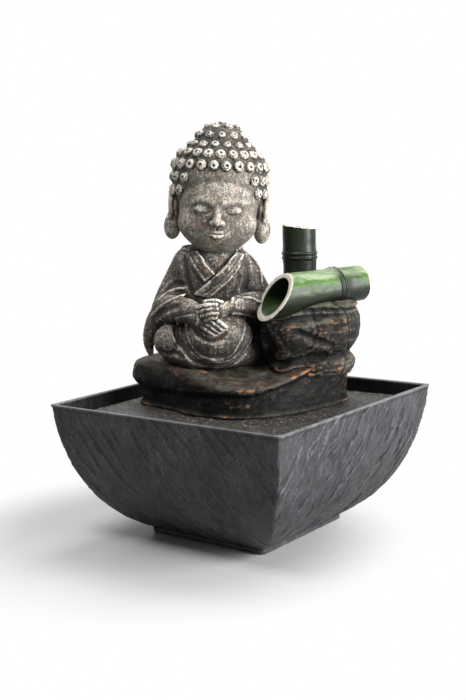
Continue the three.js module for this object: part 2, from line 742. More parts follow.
/** The space that the spout and a clearance take in the boulder's cradle. */
function spoutTool(gap) {
  const length = SPOUT_LENGTH + SPOUT_MOUTH_DIAMETER;
  const radiusAt = (height) => spoutRadius(height / SPOUT_LENGTH) + gap;
  const profile = caneProfile(length, SPOUT_NODE_SHARE * SPOUT_LENGTH, radiusAt);
  const cane = turned([[0, 0], ...profile, [0, length]], FINE_ROUND_STEPS).translate(0, 0, -gap);
  return cane.applyMatrix4(spoutFrame());
}

function makeBoulder() {
  const socket = rod(POST_DIAMETER / 2 + SEAT_GAP, postFoot() - SEAT_GAP, BOULDER_TOP + CUT_OVERRUN);
  return solid(boulderBlank(0))
    .subtract(solid(ringBody(slabRings(SEAT_GAP))))
    .subtract(solid(spoutTool(SEAT_GAP)))
    .subtract(solid(socket.translate(...postPlace(), 0)))
    .subtract(solid(hoseTool(SEAT_GAP)));
}

// Figure: a seated monk in a wrapped robe, one casting, in shares of its height from its seat up

const BODY_SIDES = 12;
const TORSO_SHARES = [
  [-0.0667, 0, 0.0317, 0.2159, 0.1524],
  [0.0095, 0, 0.0317, 0.2349, 0.1651],
  [0.073, 0, 0.0254, 0.2159, 0.1524],
  [0.1492, -0.0063, 0.019, 0.1905, 0.1397],
  [0.2381, -0.0095, 0.0127, 0.1778, 0.127],
  [0.327, -0.0127, 0.0063, 0.1746, 0.1206],
  [0.3841, -0.0159, 0, 0.1683, 0.1143],
  [0.4286, -0.019, -0.0063, 0.146, 0.1016],
  [0.4603, -0.0127, -0.0063, 0.1175, 0.0889],
  [0.4921, 0, -0.0063, 0.0984, 0.0794],
  [0.5429, 0.0063, -0.0063, 0.0889, 0.0762],
];
const HAIR_SHARES = [
  [0.5556, 0, 0.0571, 0.0889, 0.0825],
  [0.5937, 0, 0.0508, 0.146, 0.127],
  [0.6444, 0, 0.0381, 0.1778, 0.1619],
  [0.6952, 0, 0.0317, 0.1943, 0.1841],
  [0.7587, 0, 0.0317, 0.2006, 0.1943],
  [0.8095, 0, 0.0317, 0.1943, 0.1892],
  [0.8413, 0, 0.0317, 0.1778, 0.1746],
  [0.873, 0, 0.0317, 0.1448, 0.1435],
  [0.8984, 0, 0.0317, 0.113, 0.1117],
  [0.9238, 0, 0.0317, 0.1029, 0.1016],
  [0.9492, 0, 0.0317, 0.0838, 0.0825],
  [0.9683, 0, 0.0317, 0.0546, 0.0533],
  [0.979, 0, 0.0317, 0.019, 0.019],
];
const LEFT_LEG_SHARES = [
  [-0.0635, 0.0635, 0.0603, 0.0889],
  [-0.1524, -0.0127, 0.073, 0.0794],
  [-0.1841, -0.0889, 0.0921, 0.0762],
  [-0.1905, -0.1143, 0.0952, 0.073],
];
const RIGHT_LEG_SHARES = [
  [0.0635, 0.0635, 0.0603, 0.0889],
  [0.127, 0, 0.0667, 0.073],
  [0.146, -0.0571, 0.073, 0.0603],
];
const LEFT_SHIN_SHARES = [
  [-0.1778, -0.1143, 0.054, 0.054],
  [-0.0889, -0.1841, 0.0349, 0.0476],
  [0, -0.1968, 0.0286, 0.0381],
];
const RIGHT_SHIN_SHARES = [
  [0.1397, -0.0889, 0.0476, 0.0508],
  [0.0635, -0.1778, 0.0349, 0.0444],
  [0, -0.1968, 0.0286, 0.0381],
];
const LEFT_ARM_SHARES = [
  [-0.1238, 0, 0.4127, 0.0603],
  [-0.1619, 0, 0.3397, 0.0616],
  [-0.1968, -0.019, 0.2571, 0.0667],
  [-0.2095, -0.0571, 0.2127, 0.0667],
];
const RIGHT_ARM_SHARES = [
  [0.0921, 0, 0.4, 0.0571],
  [0.127, 0, 0.3397, 0.0635],
  [0.1651, -0.019, 0.2571, 0.0667],
  [0.1841, -0.0571, 0.2127, 0.0667],
];
const LEFT_SLEEVE_SHARES = [
  [-0.2222, -0.019, 0.2063, 0.0571],
  [-0.2603, -0.0063, 0.1619, 0.0508],
  [-0.2857, 0, 0.1111, 0.0419],
  [-0.294, 0.0063, 0.0667, 0.0317],
  [-0.2883, 0.0063, 0.0317, 0.0254],
];
const RIGHT_SLEEVE_SHARES = [
  [0.2032, -0.019, 0.2063, 0.0571],
  [0.2413, -0.0063, 0.1619, 0.0508],
  [0.2667, 0, 0.1111, 0.0419],
];
const LEFT_FOREARM_SHARES = [
  [-0.2095, -0.0698, 0.2254, 0.0603],
  [-0.1587, -0.1397, 0.2317, 0.0521],
  [-0.1016, -0.1968, 0.2286, 0.0457],
  [-0.0571, -0.2349, 0.2063, 0.0381],
  [-0.0254, -0.254, 0.1841, 0.0317],
];
const RIGHT_FOREARM_SHARES = [
  [0.1841, -0.0698, 0.2254, 0.0603],
  [0.1524, -0.1333, 0.2444, 0.0508],
  [0.1079, -0.1841, 0.2508, 0.0394],
  [0.0571, -0.2349, 0.2444, 0.0305],
];
const LEFT_LAPEL_SHARES = [
  [-0.0971, -0.0667, 0.4508, 0.0178],
  [-0.061, -0.1048, 0.4, 0.0178],
  [-0.0235, -0.1194, 0.3524, 0.0178],
];
const RIGHT_LAPEL_SHARES = [
  [0.1022, -0.0571, 0.4444, 0.019],
  [0.0673, -0.0952, 0.393, 0.019],
  [0.0267, -0.1194, 0.3505, 0.019],
  [-0.0241, -0.1244, 0.3105, 0.019],
  [-0.0635, -0.1244, 0.2781, 0.019],
];
const SLEEVE_HEM_SHARES = [
  [-0.2667, -0.0508, 0.2032, 0.0114],
  [-0.2159, -0.0984, 0.2483, 0.0114],
  [-0.1714, -0.1206, 0.2737, 0.0114],
  [-0.1206, -0.127, 0.2863, 0.0102],
];
const LAP_HEM_SHARES = [
  [-0.1613, -0.127, 0.2, 0.0102],
  [-0.1524, -0.1651, 0.1365, 0.0114],
  [-0.1206, -0.2, 0.0825, 0.0114],
  [-0.0698, -0.2286, 0.0381, 0.0114],
  [0.0102, -0.2413, 0.0222, 0.0114],
  [0.0762, -0.2286, 0.0381, 0.0114],
  [0.127, -0.1968, 0.0857, 0.0114],
  [0.1524, -0.1651, 0.1429, 0.0114],
  [0.1587, -0.127, 0.1937, 0.0102],
];
const BODY_LUMP_SHARES = [
  [[0, -0.1079, 0.0984], [0.1524, 0.1397, 0.1048]],
  [[0.0063, -0.1651, 0.1175], [0.1333, 0.0952, 0.0984]],
  [[-0.0127, 0.0254, 0.0032], [0.2413, 0.1714, 0.0571]],
  [[0.019, -0.2635, 0.2381], [0.0432, 0.0267, 0.033]],
  [[-0.0349, -0.2571, 0.1905], [0.0413, 0.0267, 0.0317]],
];
const FACE_SHARES = [[0, -0.0317, 0.6444], [0.1562, 0.1587, 0.1714]];
const JAW_SHARES = [[0, -0.0571, 0.5556], [0.1143, 0.1048, 0.0857]];
const EAR_SHARES = [
  [[0.1797, 0.0127, 0.6286], [0.0267, 0.0457, 0.0698]],
  [[0.1905, 0.0025, 0.5524], [0.0267, 0.0343, 0.054]],
];
const NOSE_SHARES = [
  [0, -0.1803, 0.6546, 0.014],
  [0, -0.1943, 0.6159, 0.0152],
  [0, -0.207, 0.581, 0.019],
];
const EYELID_SHARES = [[0.0622, -0.174, 0.6317], [0.0317, 0.0152, 0.0165]];
const LIP_SHARES = [
  [[0, -0.1638, 0.541], [0.0381, 0.019, 0.0095]],
  [[0, -0.1625, 0.5251], [0.0305, 0.019, 0.0108]],
];
const FINGER_COUNT = 4;
const FINGER_SHARE = 0.011;
const UPPER_FINGER_SHARES = [
  [0.0114, -0.2844, 0.2597],
  [-0.0254, -0.2959, 0.261],
  [-0.0648, -0.2844, 0.2508],
];
const LOWER_FINGER_SHARES = [
  [-0.0444, -0.273, 0.1733],
  [-0.0216, -0.2819, 0.1594],
  [0.0038, -0.2743, 0.1416],
];
const UPPER_STEP_SHARES = [0.0025, -0.0013, -0.0152];
const LOWER_STEP_SHARES = [0.0165, -0.0006, 0.0089];
const HEAD_PIVOT_SHARES = [0, 0, 0.4921];
const HEAD_ROLL_DEG = 4.5;
const HEAD_YAW_DEG = 4;
const HAIR_SIDES = 14;
const CURL_SHARE = 0.028;
const CURL_PITCH_SHARE = 0.07;
const CURL_PROUD_SHARE = 0.017;
const CURL_SIDES = 5;
const CURL_TOP_SHARE = 0.62;
const CURL_PIT_SHARE = 0.45;
const CURL_SINK_SHARE = 1.1;
const HAIRLINE_SHARE = 0.781;
const NAPE_LINE_SHARE = 0.5746;
const EAR_TOP_SHARE = 0.7079;
const EAR_SIDE_SHARE = 0.14;
const EAR_FRONT_SHARE = -0.01;
const EAR_BACK_SHARE = 0.084;

/** A point of the figure from shares of its height. */
function figurePoint([x, y, z]) {
  return new THREE.Vector3(x, y, z).multiplyScalar(FIGURE_HEIGHT);
}

/** A lump of the figure from the shares of its middle and of its half sizes. */
function figureLump([middle, halves], around, down) {
  return lump(figurePoint(middle).toArray(), figurePoint(halves).toArray(), around, down);
}

/** A limb of the figure from rows of place and radius. */
function figureLimb(rows, options = {}) {
  return limb(rows.map(figurePoint), rows.map((row) => row[3] * FIGURE_HEIGHT), options);
}

/** The same lump on the other side of the figure. */
function mirrored([[x, y, z], halves], side) {
  return [[x * side, y, z], halves];
}

/** Oval rings from rows of height, middle and half sizes. */
function figureRings(rows, sides) {
  return rows.map(([z, x, y, halfX, halfY]) => {
    const ring = [];
    for (let i = 0; i < sides; i += 1) {
      const angle = (i / sides) * FULL_TURN;
      ring.push(figurePoint([x + halfX * Math.cos(angle), y + halfY * Math.sin(angle), z]));
    }
    return ring;
  });
}

/** Four fingers side by side, from one row of places, each a step further than the one before. */
function fingers(places, step) {
  const rows = [];
  for (let i = 0; i < FINGER_COUNT; i += 1) {
    rows.push(places.map((place) => [...place.map((value, axis) => value + i * step[axis]), FINGER_SHARE]));
  }
  return rows.map((row) => figureLimb(row, { sides: 4, steps: 2 }));
}

/** One snail curl: a low round boss with a dimple, standing out of the hair along a direction. */
function curl(place, outward) {
  const radius = CURL_SHARE * FIGURE_HEIGHT;
  const proud = CURL_PROUD_SHARE * FIGURE_HEIGHT;
  const turn = new THREE.Quaternion().setFromUnitVectors(new THREE.Vector3(0, 1, 0), outward);
  const profile = [
    [0, -proud * CURL_SINK_SHARE],
    [radius, -proud * CURL_SINK_SHARE],
    [radius * CURL_TOP_SHARE, proud],
    [0, proud * (1 - CURL_PIT_SHARE)],
  ];
  return turnedAlongY(profile, CURL_SIDES).applyQuaternion(turn).translate(...place.toArray());
}

/** Whether hair grows at a place: above the hairline in front, above the nape behind, not on an ear. */
function hairGrows(place) {
  const [x, y, z] = place.toArray().map((value) => value / FIGURE_HEIGHT);
  const besideEar = Math.abs(x) > EAR_SIDE_SHARE && y < EAR_BACK_SHARE;
  if (y < EAR_FRONT_SHARE && z < HAIRLINE_SHARE) {
    return false;
  }
  return besideEar ? z > EAR_TOP_SHARE : z > NAPE_LINE_SHARE;
}

/** A place on the hair at a distance up its profile: its ring's row and how the profile leans there. */
function hairProfile(distance) {
  let left = distance;
  for (let i = 1; i < HAIR_SHARES.length; i += 1) {
    const low = HAIR_SHARES[i - 1];
    const high = HAIR_SHARES[i];
    const reach = Math.hypot(high[0] - low[0], high[3] - low[3]);
    if (left <= reach) {
      const row = low.map((value, index) => THREE.MathUtils.lerp(value, high[index], left / reach));
      return { row, out: (high[0] - low[0]) / reach, up: (low[3] - high[3]) / reach };
    }
    left -= reach;
  }
  return null;
}

/** Rows of curls round the hair, one above the other, wherever hair grows, and one on the crown. */
function hairCurls() {
  const curls = [];
  let rowNumber = 0;
  for (let at = 0; hairProfile(at); at += CURL_PITCH_SHARE) {
    const { row, out, up } = hairProfile(at);
    const [z, x, y, halfX, halfY] = row;
    const count = Math.max(1, Math.round((Math.PI * (halfX + halfY)) / CURL_PITCH_SHARE));
    for (let i = 0; i < count; i += 1) {
      const angle = ((i + (rowNumber % 2) / 2) / count) * FULL_TURN;
      const ahead = new THREE.Vector3(Math.sin(angle), -Math.cos(angle), 0);
      const place = figurePoint([x + halfX * ahead.x, y + halfY * ahead.y, z]);
      if (hairGrows(place)) {
        curls.push(curl(place, ahead.multiplyScalar(out).setZ(up).normalize()));
      }
    }
    rowNumber += 1;
  }
  const [z, x, y] = HAIR_SHARES.at(-1);
  curls.push(curl(figurePoint([x, y, z]), new THREE.Vector3(0, 0, 1)));
  return curls;
}

/** The head's parts, turned and tilted together on the neck. */
function headParts() {
  const parts = [
    figureLump(FACE_SHARES, 12, 8),
    figureLump(JAW_SHARES, 10, 5),
    ringBody(figureRings(HAIR_SHARES, HAIR_SIDES)),
    figureLimb(NOSE_SHARES, { sides: 4, steps: 2 }),
    ...LIP_SHARES.map((row) => figureLump(row, 6, 4)),
    ...hairCurls(),
  ];
  for (const side of [1, -1]) {
    parts.push(figureLump(mirrored(EYELID_SHARES, side), 6, 4));
    parts.push(...EAR_SHARES.map((row) => figureLump(mirrored(row, side), 7, 5)));
  }
  const pivot = figurePoint(HEAD_PIVOT_SHARES);
  return parts.map((part) => part
    .translate(-pivot.x, -pivot.y, -pivot.z)
    .rotateY(rad(HEAD_ROLL_DEG))
    .rotateZ(rad(HEAD_YAW_DEG))
    .translate(pivot.x, pivot.y, pivot.z));
}

/** The body's parts: trunk, crossed legs, arms in wide sleeves, hands and the robe's hems. */
function bodyParts() {
  const stout = { sides: 7, steps: 3 };
  return [
    ringBody(figureRings(TORSO_SHARES, BODY_SIDES)),
    figureLimb(LEFT_LEG_SHARES, stout),
    figureLimb(RIGHT_LEG_SHARES, stout),
    figureLimb(LEFT_SHIN_SHARES, { steps: 3 }),
    figureLimb(RIGHT_SHIN_SHARES, { steps: 3 }),
    figureLimb(LEFT_ARM_SHARES, stout),
    figureLimb(RIGHT_ARM_SHARES, stout),
    figureLimb(LEFT_SLEEVE_SHARES, { steps: 4 }),
    figureLimb(RIGHT_SLEEVE_SHARES, { steps: 3 }),
    figureLimb(LEFT_FOREARM_SHARES, stout),
    figureLimb(RIGHT_FOREARM_SHARES, stout),
    figureLimb(LEFT_LAPEL_SHARES, { sides: 5, steps: 3, flat: 0.5 }),
    figureLimb(RIGHT_LAPEL_SHARES, { sides: 5, steps: 4, flat: 0.5 }),
    figureLimb(SLEEVE_HEM_SHARES, { sides: 5, steps: 4 }),
    figureLimb(LAP_HEM_SHARES, { sides: 5, steps: 10 }),
    ...BODY_LUMP_SHARES.map((row) => figureLump(row, 10, 6)),
    ...fingers(UPPER_FINGER_SHARES, UPPER_STEP_SHARES),
    ...fingers(LOWER_FINGER_SHARES, LOWER_STEP_SHARES),
  ];
}

/** The height of the figure's seat on the slab. */
function seatTop() {
  return slabTop(FIGURE_X, FIGURE_Y);
}

/** Brings a tool from the scenery's frame into the figure's own. */
function toFigure(geometry) {
  return geometry.translate(-FIGURE_X, -FIGURE_Y, -seatTop()).rotateZ(-FIGURE_TURN);
}

/** The space that the cut spout and a clearance take beside the figure. */
function spoutRoom(gap) {
  const beyond = leaningHalf(2 * SPOUT_LENGTH, rad(SPOUT_CUT_DEG), SPOUT_LENGTH + gap);
  return solid(toFigure(spoutTool(gap))).subtract(solid(toFigure(beyond.applyMatrix4(spoutFrame()))));
}

function makeFigure() {
  let figure = null;
  for (const part of [...bodyParts(), ...headParts()]) {
    figure = figure ? figure.add(solid(part)) : solid(part);
  }
  return figure
    .subtract(solid(toFigure(ringBody(slabRings(SEAT_GAP)))))
    .subtract(solid(toFigure(boulderBlank(SEAT_GAP))))
    .subtract(spoutRoom(SEAT_GAP));
}

// Pump, in its own frame: shaft along Y, intake in front, body's bottom at zero

const BODY_BACK = -PUMP_BODY_LENGTH / 2;
const BODY_FRONT = PUMP_BODY_LENGTH / 2;
const AXIS_HEIGHT = PUMP_HEIGHT / 2;
const BODY_CORNER = 4;
const FRONT_WALL = 3;
const WELL_WALL = 1.2;
const WELL_RADIUS = ROTOR_DIAMETER / 2 + SLIDE_GAP;
const ROTOR_LENGTH = 16;
const BUSH_LENGTH = 3;
const BUSH_RADIUS = 3.2;
const WELL_BOTTOM = BODY_FRONT - ROTOR_LENGTH - BUSH_LENGTH - 2 * SEAT_GAP;
const SHAFT_HOLE_RADIUS = SHAFT_DIAMETER / 2 + SEAT_GAP;
const LAMINATION = 4.5;
const CORE_HEIGHT = 12;
const COIL_THICKNESS = 2.4;
const PLUG_THICKNESS = 2;
const GLAND_SIDE_INSET = 10;
const GLAND_TOP_INSET = 8;
const GLAND_X = PUMP_WIDTH / 2 - GLAND_SIDE_INSET;
const GLAND_HEIGHT = PUMP_HEIGHT - GLAND_TOP_INSET;
const GLAND_SPIGOT_RADIUS = 2.6;
const GLAND_FLANGE_RADIUS = 4;
const GLAND_BORE_RADIUS = 1.6;
const GLAND_FLANGE = 1.6;
const GLAND_TAIL = 9;
const GLAND_TAIL_WALL = 0.7;
const VOLUTE_WALL = 2;
const CHAMBER_WALL = 1.6;
const CHAMBER_GAP = 2;
const EYE_RADIUS = 7.6;
const HUB_WALL = 1;
const HUB_LENGTH = 4;
const SPIDER_ARMS = 3;
const SPIDER_ARM_WIDTH = 1.6;
const WHEEL_DISC = 1.2;
const WHEEL_HUB_RADIUS = 3.2;
const VANE_COUNT = 6;
const VANE_HEIGHT = 2.2;
const VANE_THICKNESS = 1;
const VANE_REACH_SHARE = 0.98;
const COVER_WALL = 1.6;
const COVER_DEPTH = 7;
const WINDOW_COUNT = 4;
const WINDOW_INNER = 4.2;
const WINDOW_OUTER = 8;
const WINDOW_SPAN_DEG = 44;
const SLOT_COUNT = 2;
const SLOT_WIDTH = 1.8;
const SLOT_LENGTH = 17;
const SLOT_PITCH = 3.2;
const DIAL_RADIUS = 9.6;
const DIAL_DISC = 1.3;
const DIAL_PIN_RADIUS = 1.9;
const DIAL_HEAD_RADIUS = 3;
const DIAL_GRIP_LENGTH = 13;
const DIAL_GRIP_WIDTH = 2.4;
const DIAL_GRIP_HEIGHT = 2.4;

const VOLUTE_FRONT = BODY_FRONT + VOLUTE_LENGTH;
const VOLUTE_WIDTH = PUMP_WIDTH - 2 * COVER_WALL - 2 * SEAT_GAP;
const VOLUTE_HEIGHT = PUMP_HEIGHT - 2 * COVER_WALL - 2 * SEAT_GAP;
const COVER_FRONT = VOLUTE_FRONT - COVER_OVERLAP + COVER_DEPTH;
const CORE_HALF = WELL_RADIUS + WELL_WALL + SEAT_GAP;
const CHAMBER_RADIUS = VOLUTE_HEIGHT / 2 - CHAMBER_WALL;
const WHEEL_RADIUS = CHAMBER_RADIUS - CHAMBER_GAP;

/** A rounded box along the pump's shaft, centred on it. */
function bodyRun(width, height, corner, from, to) {
  return runAlongY(roundedOutline(width, height, corner), from, to).translate(0, 0, AXIS_HEIGHT);
}

/** A turned piece on the pump's shaft. */
function onShaft(profile, steps = ROUND_STEPS) {
  return turnedAlongY(profile, steps).translate(0, 0, AXIS_HEIGHT);
}

/** A plain disc or hole on the pump's shaft. */
function discOnShaft(radius, from, to, steps = ROUND_STEPS) {
  return onShaft([[0, from], [radius, from], [radius, to], [0, to]], steps);
}

/** A ring sector on the shaft, run along Y and turned to its place. */
function sectorOnShaft(inner, outer, span, turn, from, to) {
  const shape = new THREE.Shape();
  shape.absarc(0, 0, outer, turn - span / 2, turn + span / 2);
  shape.absarc(0, 0, inner, turn + span / 2, turn - span / 2, true);
  return runAlongY(shape, from, to).translate(0, 0, AXIS_HEIGHT);
}

function makeHousing() {
  const cavityWidth = PUMP_WIDTH - 2 * PUMP_WALL;
  const cavityHeight = PUMP_HEIGHT - 2 * PUMP_WALL;
  const cavityCorner = BODY_CORNER - PUMP_WALL / 2;
  const cavityFront = BODY_FRONT - FRONT_WALL;
  const cavity = bodyRun(cavityWidth, cavityHeight, cavityCorner, BODY_BACK - CUT_OVERRUN, cavityFront);
  const wellOuter = discOnShaft(WELL_RADIUS + WELL_WALL, WELL_BOTTOM - WELL_WALL, BODY_FRONT);
  const wellInner = onShaft([
    [0, WELL_BOTTOM],
    [BUSH_RADIUS + SEAT_GAP, WELL_BOTTOM],
    [BUSH_RADIUS + SEAT_GAP, WELL_BOTTOM + BUSH_LENGTH],
    [WELL_RADIUS, WELL_BOTTOM + BUSH_LENGTH],
    [WELL_RADIUS, BODY_FRONT + CUT_OVERRUN],
    [0, BODY_FRONT + CUT_OVERRUN],
  ]);
  let housing = solid(bodyRun(PUMP_WIDTH, PUMP_HEIGHT, BODY_CORNER, BODY_BACK, BODY_FRONT));
  for (const [x, y] of cupPlaces()) {
    const boss = rod(BOSS_DIAMETER / 2, -BOSS_HEIGHT, PUMP_WALL / 2, ROUND_STEPS);
    housing = housing.add(solid(boss.translate(x, y, 0)));
  }
  housing = housing.subtract(solid(cavity).subtract(solid(wellOuter))).subtract(solid(wellInner));
  for (const [x, y] of cupPlaces()) {
    const depth = CUP_STUD_LENGTH + SEAT_GAP;
    const socket = rod(CUP_STUD_DIAMETER / 2 + SEAT_GAP, -BOSS_HEIGHT - CUT_OVERRUN, depth - BOSS_HEIGHT);
    housing = housing.subtract(solid(socket.translate(x, y, 0)));
  }
  return housing;
}

/** The four places of the suction cups under the pump. */
function cupPlaces() {
  const x = CUP_SPREAD_X / 2;
  const y = CUP_SPREAD_Y / 2;
  return [[x, y], [-x, y], [-x, -y], [x, -y]];
}

/** A suction cup, hollow below, with a stud on top; its rim is at zero. */
function makeCup() {
  const bell = CUP_BELL_SHARES.map(([out, up]) => [(out * CUP_DIAMETER) / 2, up * CUP_HEIGHT]);
  const stud = CUP_STUD_DIAMETER / 2;
  const studTop = CUP_HEIGHT + SEAT_GAP + CUP_STUD_LENGTH;
  return solid(turned([...bell, [stud, CUP_HEIGHT], [stud, studTop], [0, studTop]], CUP_STEPS));
}

/** The yoke's middle along the shaft, between the rotor's well and the potting plug. */
function yokeMiddle() {
  const coilHalf = LAMINATION / 2 + SEAT_GAP + COIL_THICKNESS;
  return BODY_BACK + PLUG_THICKNESS + 2 * SEAT_GAP + coilHalf;
}

function makeStatorCore() {
  const outer = CORE_HALF + LAMINATION;
  const yokeBack = yokeMiddle() - LAMINATION / 2;
  const yokeFront = yokeMiddle() + LAMINATION / 2;
  const legEnd = BODY_FRONT - FRONT_WALL - SEAT_GAP;
  const shape = new THREE.Shape();
  shape.moveTo(-outer, yokeBack);
  shape.lineTo(outer, yokeBack);
  shape.lineTo(outer, legEnd);
  shape.lineTo(CORE_HALF, legEnd);
  shape.lineTo(CORE_HALF, yokeFront);
  shape.lineTo(-CORE_HALF, yokeFront);
  shape.lineTo(-CORE_HALF, legEnd);
  shape.lineTo(-outer, legEnd);
  shape.closePath();
  return solid(raised(shape, AXIS_HEIGHT - CORE_HEIGHT / 2, AXIS_HEIGHT + CORE_HEIGHT / 2));
}

function makeStatorCoil() {
  const holeHeight = CORE_HEIGHT + 2 * SEAT_GAP;
  const holeDepth = LAMINATION + 2 * SEAT_GAP;
  const height = holeHeight + 2 * COIL_THICKNESS;
  const depth = holeDepth + 2 * COIL_THICKNESS;
  const half = CORE_HALF - SEAT_GAP;
  const outer = solid(raised(roundedOutline(height, depth, COIL_THICKNESS), -half, half)
    .rotateY(QUARTER_TURN).translate(0, yokeMiddle(), AXIS_HEIGHT));
  const hole = block(
    [-half - CUT_OVERRUN, yokeMiddle() - holeDepth / 2, AXIS_HEIGHT - holeHeight / 2],
    [half + CUT_OVERRUN, yokeMiddle() + holeDepth / 2, AXIS_HEIGHT + holeHeight / 2],
  );
  return outer.subtract(solid(hole));
}

function makePottingPlug() {
  const width = PUMP_WIDTH - 2 * PUMP_WALL - 2 * SEAT_GAP;
  const height = PUMP_HEIGHT - 2 * PUMP_WALL - 2 * SEAT_GAP;
  const corner = BODY_CORNER - PUMP_WALL / 2 - SEAT_GAP;
  const plug = solid(bodyRun(width, height, corner, BODY_BACK, BODY_BACK + PLUG_THICKNESS));
  const hole = turnedAlongY([
    [0, BODY_BACK - CUT_OVERRUN],
    [GLAND_SPIGOT_RADIUS + SEAT_GAP, BODY_BACK - CUT_OVERRUN],
    [GLAND_SPIGOT_RADIUS + SEAT_GAP, BODY_BACK + PLUG_THICKNESS + CUT_OVERRUN],
    [0, BODY_BACK + PLUG_THICKNESS + CUT_OVERRUN],
  ]);
  return plug.subtract(solid(hole.translate(GLAND_X, 0, GLAND_HEIGHT)));
}

function makeCordGland() {
  const inner = BODY_BACK + PLUG_THICKNESS;
  const seat = BODY_BACK - SEAT_GAP;
  const flangeEnd = seat - GLAND_FLANGE;
  const tailEnd = flangeEnd - GLAND_TAIL;
  const profile = [
    [GLAND_BORE_RADIUS, inner],
    [GLAND_SPIGOT_RADIUS, inner],
    [GLAND_SPIGOT_RADIUS, seat],
    [GLAND_FLANGE_RADIUS, seat],
    [GLAND_FLANGE_RADIUS, flangeEnd],
    [GLAND_SPIGOT_RADIUS, flangeEnd],
    [GLAND_BORE_RADIUS + GLAND_TAIL_WALL, tailEnd],
    [GLAND_BORE_RADIUS, tailEnd],
    [GLAND_BORE_RADIUS, inner],
  ];
  return solid(turnedAlongY(profile).translate(GLAND_X, 0, GLAND_HEIGHT));
}

function makeVolute() {
  const back = BODY_FRONT + SEAT_GAP;
  const wallBack = VOLUTE_FRONT - VOLUTE_WALL;
  const hubRadius = BUSH_RADIUS + SEAT_GAP + HUB_WALL;
  const hubBack = VOLUTE_FRONT - HUB_LENGTH;
  let volute = solid(bodyRun(VOLUTE_WIDTH, VOLUTE_HEIGHT, BODY_CORNER - COVER_WALL, back, VOLUTE_FRONT));
  const nozzleFoot = AXIS_HEIGHT + CHAMBER_RADIUS;
  const nozzleTop = PUMP_HEIGHT + NOZZLE_TALL;
  volute = volute.add(solid(rod(NOZZLE_RADIUS, nozzleFoot, nozzleTop).translate(0, NOZZLE_Y, 0)));
  volute = volute.subtract(solid(discOnShaft(CHAMBER_RADIUS, back - CUT_OVERRUN, wallBack)));
  volute = volute.subtract(solid(discOnShaft(EYE_RADIUS, back, VOLUTE_FRONT + CUT_OVERRUN)));
  volute = volute.add(solid(discOnShaft(hubRadius, hubBack, VOLUTE_FRONT)));
  for (let arm = 0; arm < SPIDER_ARMS; arm += 1) {
    const bar = block(
      [-SPIDER_ARM_WIDTH / 2, wallBack, hubRadius - HUB_WALL / 2],
      [SPIDER_ARM_WIDTH / 2, VOLUTE_FRONT, EYE_RADIUS + HUB_WALL],
    );
    bar.rotateY((arm / SPIDER_ARMS) * FULL_TURN).translate(0, 0, AXIS_HEIGHT);
    volute = volute.add(solid(bar));
  }
  const socketEnd = hubBack + BUSH_LENGTH + SEAT_GAP;
  volute = volute.subtract(solid(discOnShaft(BUSH_RADIUS + SEAT_GAP, hubBack - CUT_OVERRUN, socketEnd)));
  const bore = rod(NOZZLE_BORE / 2, AXIS_HEIGHT + EYE_RADIUS, nozzleTop + CUT_OVERRUN);
  return volute.subtract(solid(bore.translate(0, NOZZLE_Y, 0)));
}

/** A rubber bush on the shaft, from one place on. */
function makeBush(start) {
  const end = start + BUSH_LENGTH;
  return solid(onShaft([
    [SHAFT_HOLE_RADIUS, start],
    [BUSH_RADIUS, start],
    [BUSH_RADIUS, end],
    [SHAFT_HOLE_RADIUS, end],
    [SHAFT_HOLE_RADIUS, start],
  ]));
}

function rearBushStart() {
  return WELL_BOTTOM + SEAT_GAP / 2;
}

function frontBushStart() {
  return VOLUTE_FRONT - HUB_LENGTH + SEAT_GAP / 2;
}

function makeShaft() {
  return solid(discOnShaft(SHAFT_DIAMETER / 2, rearBushStart(), frontBushStart() + BUSH_LENGTH));
}

function makeRotor() {
  const start = WELL_BOTTOM + BUSH_LENGTH + SEAT_GAP;
  const end = start + ROTOR_LENGTH;
  return solid(onShaft([
    [SHAFT_HOLE_RADIUS, start],
    [ROTOR_DIAMETER / 2, start],
    [ROTOR_DIAMETER / 2, end],
    [SHAFT_HOLE_RADIUS, end],
    [SHAFT_HOLE_RADIUS, start],
  ]));
}

function makeWheel() {
  const start = BODY_FRONT + SEAT_GAP;
  const discEnd = start + WHEEL_DISC;
  const end = discEnd + VANE_HEIGHT;
  let wheel = solid(discOnShaft(WHEEL_RADIUS, start, discEnd));
  wheel = wheel.add(solid(discOnShaft(WHEEL_HUB_RADIUS, start, end)));
  for (let vane = 0; vane < VANE_COUNT; vane += 1) {
    const blade = block(
      [-VANE_THICKNESS / 2, discEnd - WHEEL_DISC / 2, WHEEL_HUB_RADIUS / 2],
      [VANE_THICKNESS / 2, end, WHEEL_RADIUS * VANE_REACH_SHARE],
    );
    blade.rotateY((vane / VANE_COUNT) * FULL_TURN).translate(0, 0, AXIS_HEIGHT);
    wheel = wheel.add(solid(blade));
  }
  return wheel.subtract(solid(discOnShaft(SHAFT_HOLE_RADIUS, start - CUT_OVERRUN, end + CUT_OVERRUN)));
}

/** Cuts the ring of water windows through a disc or wall on the shaft. */
function cutWindows(body, from, to) {
  let open = body;
  for (let i = 0; i < WINDOW_COUNT; i += 1) {
    const turn = ((i + 0.5) / WINDOW_COUNT) * FULL_TURN;
    const tool = sectorOnShaft(WINDOW_INNER, WINDOW_OUTER, rad(WINDOW_SPAN_DEG), turn, from, to);
    open = open.subtract(solid(tool));
  }
  return open;
}

